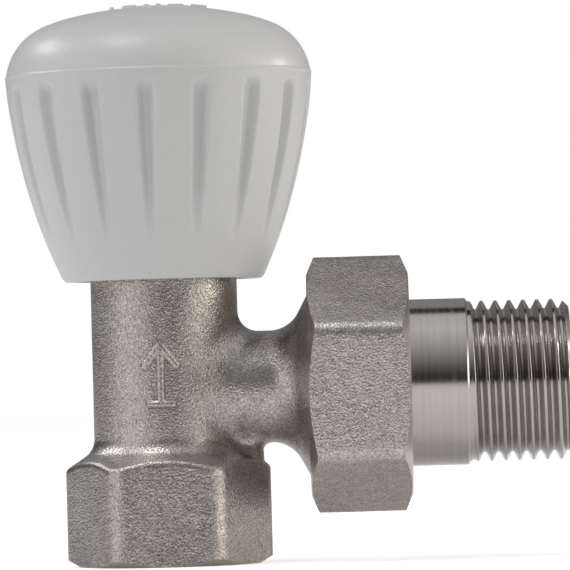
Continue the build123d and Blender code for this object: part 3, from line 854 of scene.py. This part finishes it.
SKIRT = np.array([(12.97, 37.15), (13.33, 37.9), (13.84, 38.98), (14.26, 40.03), (14.72, 41.07), (15.14, 42.1), (15.52, 43.2),
                  (15.92, 44.2), (16.29, 45.26), (16.62, 46.3), (16.92, 47.35), (17.22, 48.4), (17.52, 49.4), (17.78, 50.5),
                  (18.04, 51.5), (18.29, 52.6), (18.53, 53.6), (18.76, 54.67), (18.95, 55.7), (19.15, 56.76), (19.35, 57.8),
                  (19.5, 58.85), (19.67, 59.9), (19.82, 60.9), (19.93, 62.0), (20.0, 63.7)])
DOME = np.array([(20.0, 63.7), (19.97, 64.1), (19.77, 65.1), (19.44, 66.2), (18.93, 67.2), (18.22, 68.26), (17.22, 69.3),
                 (15.56, 70.35), (12.57, 71.4), (8.0, 72.35), (4.0, 72.8), (0.0, 72.9)])


def smooth_curve(points, count, passes=3):
    """Even resampling of a polyline with the measuring noise smoothed out."""
    p = np.array(points, float)
    s = np.concatenate([[0], np.cumsum(np.hypot(*np.diff(p, axis=0).T))])
    t = np.linspace(0, s[-1], count)
    q = np.stack([np.interp(t, s, p[:, 0]), np.interp(t, s, p[:, 1])], axis=1)
    for _ in range(passes):
        q[1:-1] = q[1:-1] * 0.5 + (q[:-2] + q[2:]) * 0.25
    return q


skirt = smooth_curve(SKIRT, 110, 60)
dome = smooth_curve(DOME, 90, 30)
skirt_r = lambda z: np.interp(z, skirt[:, 1], skirt[:, 0])
FLUTES = 17
FLUTE_TURN = math.radians(-3.4)


def flute_depth(theta, z, r):
    """theta is the angle from the front, towards +x."""
    pitch = 2 * math.pi / FLUTES
    a = (theta - FLUTE_TURN + pitch / 2) % pitch - pitch / 2
    t = np.abs(a) * r                                   # mm from the flute's middle line
    width = np.interp(z, [42.0, 50.0, 58.0, 63.0], [1.4, 2.0, 2.65, 2.95])
    q = t / (width / 2)
    section = 1 - smoothstep(q, 0.22, 1.04)
    run_out = np.interp(z, [42.2, 44.5, 50.0, 58.0, 62.2], [0.0, 0.28, 0.8, 1.0, 0.92])
    end = 1 - smoothstep(z + 0.2 * q ** 4, 61.2, 62.9)
    return 1.20 * section * run_out * end


def cap_shell():
    in_flute, in_land = ((24, 20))
    n = FLUTES * (in_flute + in_land)
    # profile from the apex outwards and down to the rim, then up the inside to the ceiling
    rows = []                                            # (r, z, kind)
    dome_rows = dome[::-1]
    for r, z in dome_rows[1:]:
        if z > 64.5:
            rows.append((r, z, "out"))
    for z in np.arange(64.45, 63.62, -0.055):
        r = np.interp(z, dome_rows[::-1, 1], dome_rows[::-1, 0]) if z > 63.75 else skirt_r(z)
        rows.append((float(r), float(z), "out"))
    zs = np.concatenate([np.arange(63.6, 61.6, -0.1), np.arange(61.6, 41.6, -0.4), np.arange(41.6, 38.0, -0.6), [37.8, 37.6]])
    for z in zs:
        rows.append((float(skirt_r(z)), float(z), "flute"))
    # rounded rim
    cx, cz, rr = 12.97 - 0.32, 37.15 + 0.32, 0.32
    for a in np.linspace(0.15, 1.0, 6):
        ang = a * math.pi / 2
        rows.append((cx + rr * math.cos(ang), cz - rr * math.sin(ang), "plain"))
    rows.append((11.75, 37.15, "plain"))
    for a in np.linspace(0.0, 1.0, 4):
        ang = a * math.pi / 2
        rows.append((11.55 - 0.22 * math.sin(ang) + 0.0, 37.37 - 0.22 * math.cos(ang), "plain"))
    inner = []
    for z in np.arange(38.0, 62.5, 1.2):
        inner.append((float(skirt_r(z - 0.5)) - 1.72, float(z)))
    inner += [(18.1, 63.4), (17.7, 65.0), (16.9, 66.6), (15.6, 68.0), (13.4, 69.3), (10.6, 70.2), (7.0, 70.75), (3.5, 71.0)]
    for r, z in inner:
        rows.append((r, z, "plain"))
    verts = [(0.0, 0.0, 72.9)]
    R = np.array([p[0] for p in rows])
    Z = np.array([p[1] for p in rows])
    # parting line at the foot of the dome
    outer = np.array([p[2] != "plain" for p in rows])
    R = R + np.where(outer, 0.11 * np.exp(-((Z - 63.95) / 0.14) ** 2), 0)
    RR = np.repeat(R[:, None], n, axis=1)
    # columns follow the flutes as they narrow
    pitch = 2 * math.pi / FLUTES
    zc = np.clip(Z, 42.0, 63.6)
    half = 1.08 * np.interp(zc, [42.0, 50.0, 58.0, 63.0], [1.4, 2.0, 2.65, 2.95]) / 2 / skirt_r(zc)
    a_in = -half[:, None] + 2 * half[:, None] * (np.arange(in_flute) + 0.5) / in_flute
    a_out = half[:, None] + (pitch - 2 * half[:, None]) * (np.arange(in_land) + 0.5) / in_land
    one = np.concatenate([a_in, a_out], axis=1)
    TT = np.concatenate([FLUTE_TURN + k * pitch + one for k in range(FLUTES)], axis=1)
    ZZ = np.repeat(Z[:, None], n, axis=1)
    fl = np.array([p[2] == "flute" for p in rows])
    dep = flute_depth(TT[fl], ZZ[fl], RR[fl])
    RR[fl] -= dep
    P = np.stack([RR * np.sin(TT), -RR * np.cos(TT), ZZ], axis=-1).reshape(-1, 3)
    V = np.concatenate([np.array([[0.0, 0.0, 72.9]]), P, np.array([[0.0, 0.0, 71.05]])])
    idx = 1 + np.arange(len(rows) * n).reshape(len(rows), n)
    a = idx[:-1, :]
    b = idx[1:, :]
    quads = np.stack([a.ravel(), b.ravel(), np.roll(b, -1, axis=1).ravel(), np.roll(a, -1, axis=1).ravel()], axis=1)
    faces = [tuple(q) for q in quads.tolist()]
    last = len(V) - 1
    for j in range(n):
        j2 = (j + 1) % n
        faces.append((0, int(idx[0, j]), int(idx[0, j2])))
        faces.append((last, int(idx[-1, j2]), int(idx[-1, j])))
    obj = make_object("shield_cap_moulded", V, faces, [M_CAP])
    weld(obj, 0.0002)
    return obj


cap = cap_shell()
ring = lathe("cap_socket", [(46.6, 7.85), (46.6, 9.15), (46.85, 9.4), (71.3, 9.4), (71.3, 7.25), (49.5, 7.25), (49.5, 8.35),
                            (47.9, 8.35), (47.9, 7.25), (47.1, 7.25), (46.6, 7.85)], "z", segments=180, materials=[M_CAP])
boolean(cap, ring, "UNION", solver="EXACT")


def crown_surface(u, v, lift):
    r = np.hypot(u, v)
    z = np.interp(r, dome[::-1, 0], dome[::-1, 1])
    return np.stack([u, v, z + lift], axis=-1)


def crown_marks(u, v):
    """A row of dashes and dots between two low turning arcs with heads."""
    r = np.hypot(u, v)
    a = np.degrees(np.arctan2(u, -v))                     # 0 at the front, + towards +x
    arcs = np.full_like(u, 9.0)
    for c in (0.0, 180.0):
        da = (a - c + 180) % 360 - 180
        arcs = np.minimum(arcs, np.maximum(np.abs(r - 5.4) - 0.38, (np.abs(da) - 40) * 0.0175 * 5.4))
        e = (da - 40) * 0.0175 * 5.4
        arcs = np.minimum(arcs, np.maximum(np.abs(r - 5.4) * 0.8 + e * 0.6 - 0.85, -e - 0.1))
    d = np.full_like(u, 9.0)
    for x0, half, tall in ((-5.85, 0.30, 0.5), (-3.55, 0.95, 0.5), (-1.3, 0.42, 0.9), (0.25, 0.40, 0.9), (2.5, 1.12, 0.5), (5.5, 1.1, 0.7)):
        d = np.minimum(d, np.hypot(np.maximum(np.abs(u - x0) - half + 0.15, 0), np.maximum(np.abs(v) - tall + 0.15, 0)) - 0.15)
    return -0.14 + np.maximum(0.56 * smoothstep(-d, -0.14, 0.12), 0.30 * smoothstep(-arcs, -0.16, 0.12))


crown = raised_patch("crown", 15.0, 15.0, 0.11, crown_surface, 0.7, crown_marks)
crown.data.materials.append(M_CAP)
boolean(cap, crown, "UNION", solver="EXACT")
sharpen(cap, 40)
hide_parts("shield_cap")
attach(cap, "cap")

# ------------------------------------------------------------------ spindle with its real thread


def spindle_thread(z, theta):
    u = z / 1.0 - theta / TWO_PI
    v = np.abs(u - np.round(u))
    r = np.clip(4.0 - (v - 0.0625) * 1.732, 3.40, 4.0)
    lead = np.minimum(np.minimum((z - 34.5) * 1.0 + 3.3, (41.2 - z) * 1.0 + 3.3), 4.0)
    return np.minimum(r, lead)


spindle = threaded_solid(
    "spindle_threaded", 34.5, 41.2, 1.0, spindle_thread,
    head=[(22.7, 0), (22.7, 2.1), (23.1, 2.5), (26.0, 2.5), (26.0, 1.9), (27.2, 1.9), (27.2, 2.5), (29.3, 2.5), (29.3, 3.2), (34.4, 3.2)],
    tail=[(41.3, 3.0), (50.0, 3.0), (57.4, 3.0), (57.4, 2.45), (58.2, 2.45), (58.2, 3.0), (63.0, 3.0), (63.5, 2.4), (63.5, 0)],
    n=96, m=16, axis="z", materials=[M_BRASS_Z])
for i in range(4):
    a = math.radians(90 * i)
    pts = []
    for z in (58.8, 64.5):
        for r_, w in ((2.1, 3.4), (4.4, 3.4), (4.4, -3.4), (2.1, -3.4)):
            pts.append((r_ * math.cos(a) - w * math.sin(a), r_ * math.sin(a) + w * math.cos(a), z))
    blk = make_object(f"flat_{i}", pts, [(0, 1, 2, 3), (7, 6, 5, 4), (0, 4, 5, 1), (1, 5, 6, 2), (2, 6, 7, 3), (3, 7, 4, 0)], [M_BRASS_Z])
    weld(blk)
    boolean(spindle, blk)
sharpen(spindle, 30)
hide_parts("spindle")
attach(spindle, "spindle")

# ------------------------------------------------------------------ materials of the carried-over pieces

for name, mat in {
    "bonnet": M_BRASS_Z, "gland_nut": M_BRASS_Z, "disc_holder": M_BRASS_Z, "washer_plate": M_BRASS_Z,
    "washer_screw": M_STEEL, "disc_retaining_clip": M_STEEL, "spindle_circlip": M_STEEL, "cap_grip_ring": M_STEEL,
    "seat_washer": M_RUBBER, "bonnet_o_ring": M_RUBBER, "spindle_o_rings": M_RUBBER, "tailpiece_o_ring": M_RUBBER,
    "gland_lower_washer": M_PTFE, "gland_follower_washer": M_PTFE,
}.items():
    for s in nodes[name].material_slots:
        s.material = mat

# ------------------------------------------------------------------ floor, world and lights

fm = Nodes("floor_pale")
fn = fm.noise(6.0, 2.0, 0.5)
fm.link(fm.ramp(fn, [(0.3, (0.80, 0.80, 0.80)), (0.7, (0.82, 0.82, 0.82))]), fm.bsdf.inputs["Base Color"])
fm.set(Roughness=0.9)
glow = fm.t.nodes.new("ShaderNodeEmission")
glow.inputs[0].default_value = (1, 1, 1, 1)
glow.inputs[1].default_value = 0.62
fadd = fm.t.nodes.new("ShaderNodeAddShader")
fm.link(fm.bsdf.outputs[0], fadd.inputs[0])
fm.link(glow.outputs[0], fadd.inputs[1])
fmx = fm.t.nodes.new("ShaderNodeMixShader")
fm.link(fm.t.nodes.new("ShaderNodeLightPath").outputs["Is Camera Ray"], fmx.inputs[0])
# painted light: the floor glows for light bounced onto the valve; the glow is dim within about 60 mm of it (a painted
# shadow), brightest near 120 mm and fading further out
floor_glow_painted_shadow = fm.t.nodes.new("ShaderNodeEmission")
floor_glow_painted_shadow.inputs[0].default_value = (1, 0.99, 0.985, 1)
fx_, fy_, fz_ = fm.split()
reach = fm.math("SQRT", fm.math("ADD", fm.math("POWER", fm.math("ABSOLUTE", fm.math("SUBTRACT", fx_, 0.018)), 2.0),
                                fm.math("POWER", fm.math("ABSOLUTE", fy_), 2.0)))
fm.link(fm.ramp(fm.math("DIVIDE", reach, 0.4), [(0.05, 0.13), (0.14, 0.21), (0.30, 0.25), (0.5, 0.22), (1.0, 0.12)]), floor_glow_painted_shadow.inputs[1])
badd = fm.t.nodes.new("ShaderNodeAddShader")
fm.link(fm.bsdf.outputs[0], badd.inputs[0])
fm.link(floor_glow_painted_shadow.outputs[0], badd.inputs[1])
fm.link(badd.outputs[0], fmx.inputs[1])
fm.link(fadd.outputs[0], fmx.inputs[2])
fm.link(fmx.outputs[0], fm.out.inputs[0])
floor = make_object("floor", [(-3000, -800, -0.05), (3000, -800, -0.05), (3000, 3000, -0.05), (-3000, 3000, -0.05)],
                    [(0, 1, 2, 3)], [fm.mat], smooth=False)

scene = bpy.context.scene
scene.view_settings.view_transform = "Standard"
world = bpy.data.worlds.new("studio")
scene.world = world
world.use_nodes = True


class WorldNodes(Nodes):
    def __init__(self, tree):
        self.t = tree
        tree.nodes.clear()
        self.out = tree.nodes.new("ShaderNodeOutputWorld")
        self.coord = tree.nodes.new("ShaderNodeTexCoord").outputs["Generated"]


w = WorldNodes(world.node_tree)
dx_, dy_, dz_ = w.split()
beta = w.math("ARCTAN2", dz_, w.math("MULTIPLY", dy_, -1.0))           # 0 front, pi/2 zenith, pi back
over = w.ramp(w.math("ADD", w.math("DIVIDE", beta, 2 * math.pi), 0.5), [
    (0.0, 0.15), (0.35, 0.15), (0.47, 0.02), (0.518, 0.012), (0.534, 0.06), (0.561, 0.15), (0.611, 0.34), (0.661, 0.53),
    (0.717, 0.69), (0.783, 0.65), (0.803, 0.62), (0.808, 0.01), (0.843, 0.01), (0.850, 0.34), (0.93, 0.26), (1.0, 0.15)])
az = w.math("ARCTAN2", dx_, w.math("MULTIPLY", dy_, -1.0))             # 0 front, + towards +x
around = w.ramp(w.math("ADD", w.math("DIVIDE", az, 2 * math.pi), 0.5), [
    (0.0, 0.04), (0.18, 0.04), (0.225, 0.08), (0.26, 0.45), (0.29, 0.92), (0.405, 0.90), (0.435, 0.22), (0.46, 0.02), (0.56, 0.02),
    (0.61, (0.20, 0.19, 0.17)), (0.64, (0.78, 0.74, 0.67)), (0.665, (1.55, 1.46, 1.32)), (0.705, (1.75, 1.65, 1.49)),
    (0.735, (1.10, 1.03, 0.92)), (0.79, (0.62, 0.57, 0.50)), (0.86, (0.42, 0.38, 0.33)), (0.90, 0.08), (1.0, 0.04)])
side = w.ramp(w.math("ABSOLUTE", dx_), [(0.22, 0.0), (0.5, 1.0)])
mixed = w.mix(side, over, around)
tall = w.ramp(dz_, [(0.34, 0.0), (0.66, 1.0)])
mixed = w.mix(tall, mixed, over)
bg = w.t.nodes.new("ShaderNodeBackground")
w.link(mixed, bg.inputs[0])
bg.inputs[1].default_value = 1.0
white = w.t.nodes.new("ShaderNodeBackground")
white.inputs[0].default_value = (1, 1, 1, 1)
ws = w.t.nodes.new("ShaderNodeMixShader")
w.link(w.t.nodes.new("ShaderNodeLightPath").outputs["Is Camera Ray"], ws.inputs[0])
w.link(bg.outputs[0], ws.inputs[1])
w.link(white.outputs[0], ws.inputs[2])
w.link(ws.outputs[0], w.out.inputs[0])


def area(name, azimuth, elevation, distance, width, height, power, target=(10, 0, 35), color=(1, 1, 1)):
    """azimuth in degrees from the front (-Y) towards +X."""
    data = bpy.data.lights.new(name, "AREA")
    data.shape = "RECTANGLE"
    data.size = width
    data.size_y = height
    data.energy = power
    data.color = color
    obj = bpy.data.objects.new(name, data)
    bpy.context.scene.collection.objects.link(obj)
    a, e = math.radians(azimuth), math.radians(elevation)
    direction = Vector((math.sin(a) * math.cos(e), -math.cos(a) * math.cos(e), math.sin(e)))
    t = Vector(target) * MM
    obj.location = t + direction * distance
    obj.rotation_euler = (-direction).to_track_quat("-Z", "Y").to_euler()
    return obj


area("right", 84, 12, 0.70, 0.16, 0.55, 0.45, color=(1.0, 0.94, 0.84))
area("spark", 109, 17, 0.90, 0.045, 0.045, 1.0)
area("left_back", -114, 38, 0.80, 0.34, 0.16, 1.0)
area("left_front", -46, 64, 0.80, 0.26, 0.22, 1.1)
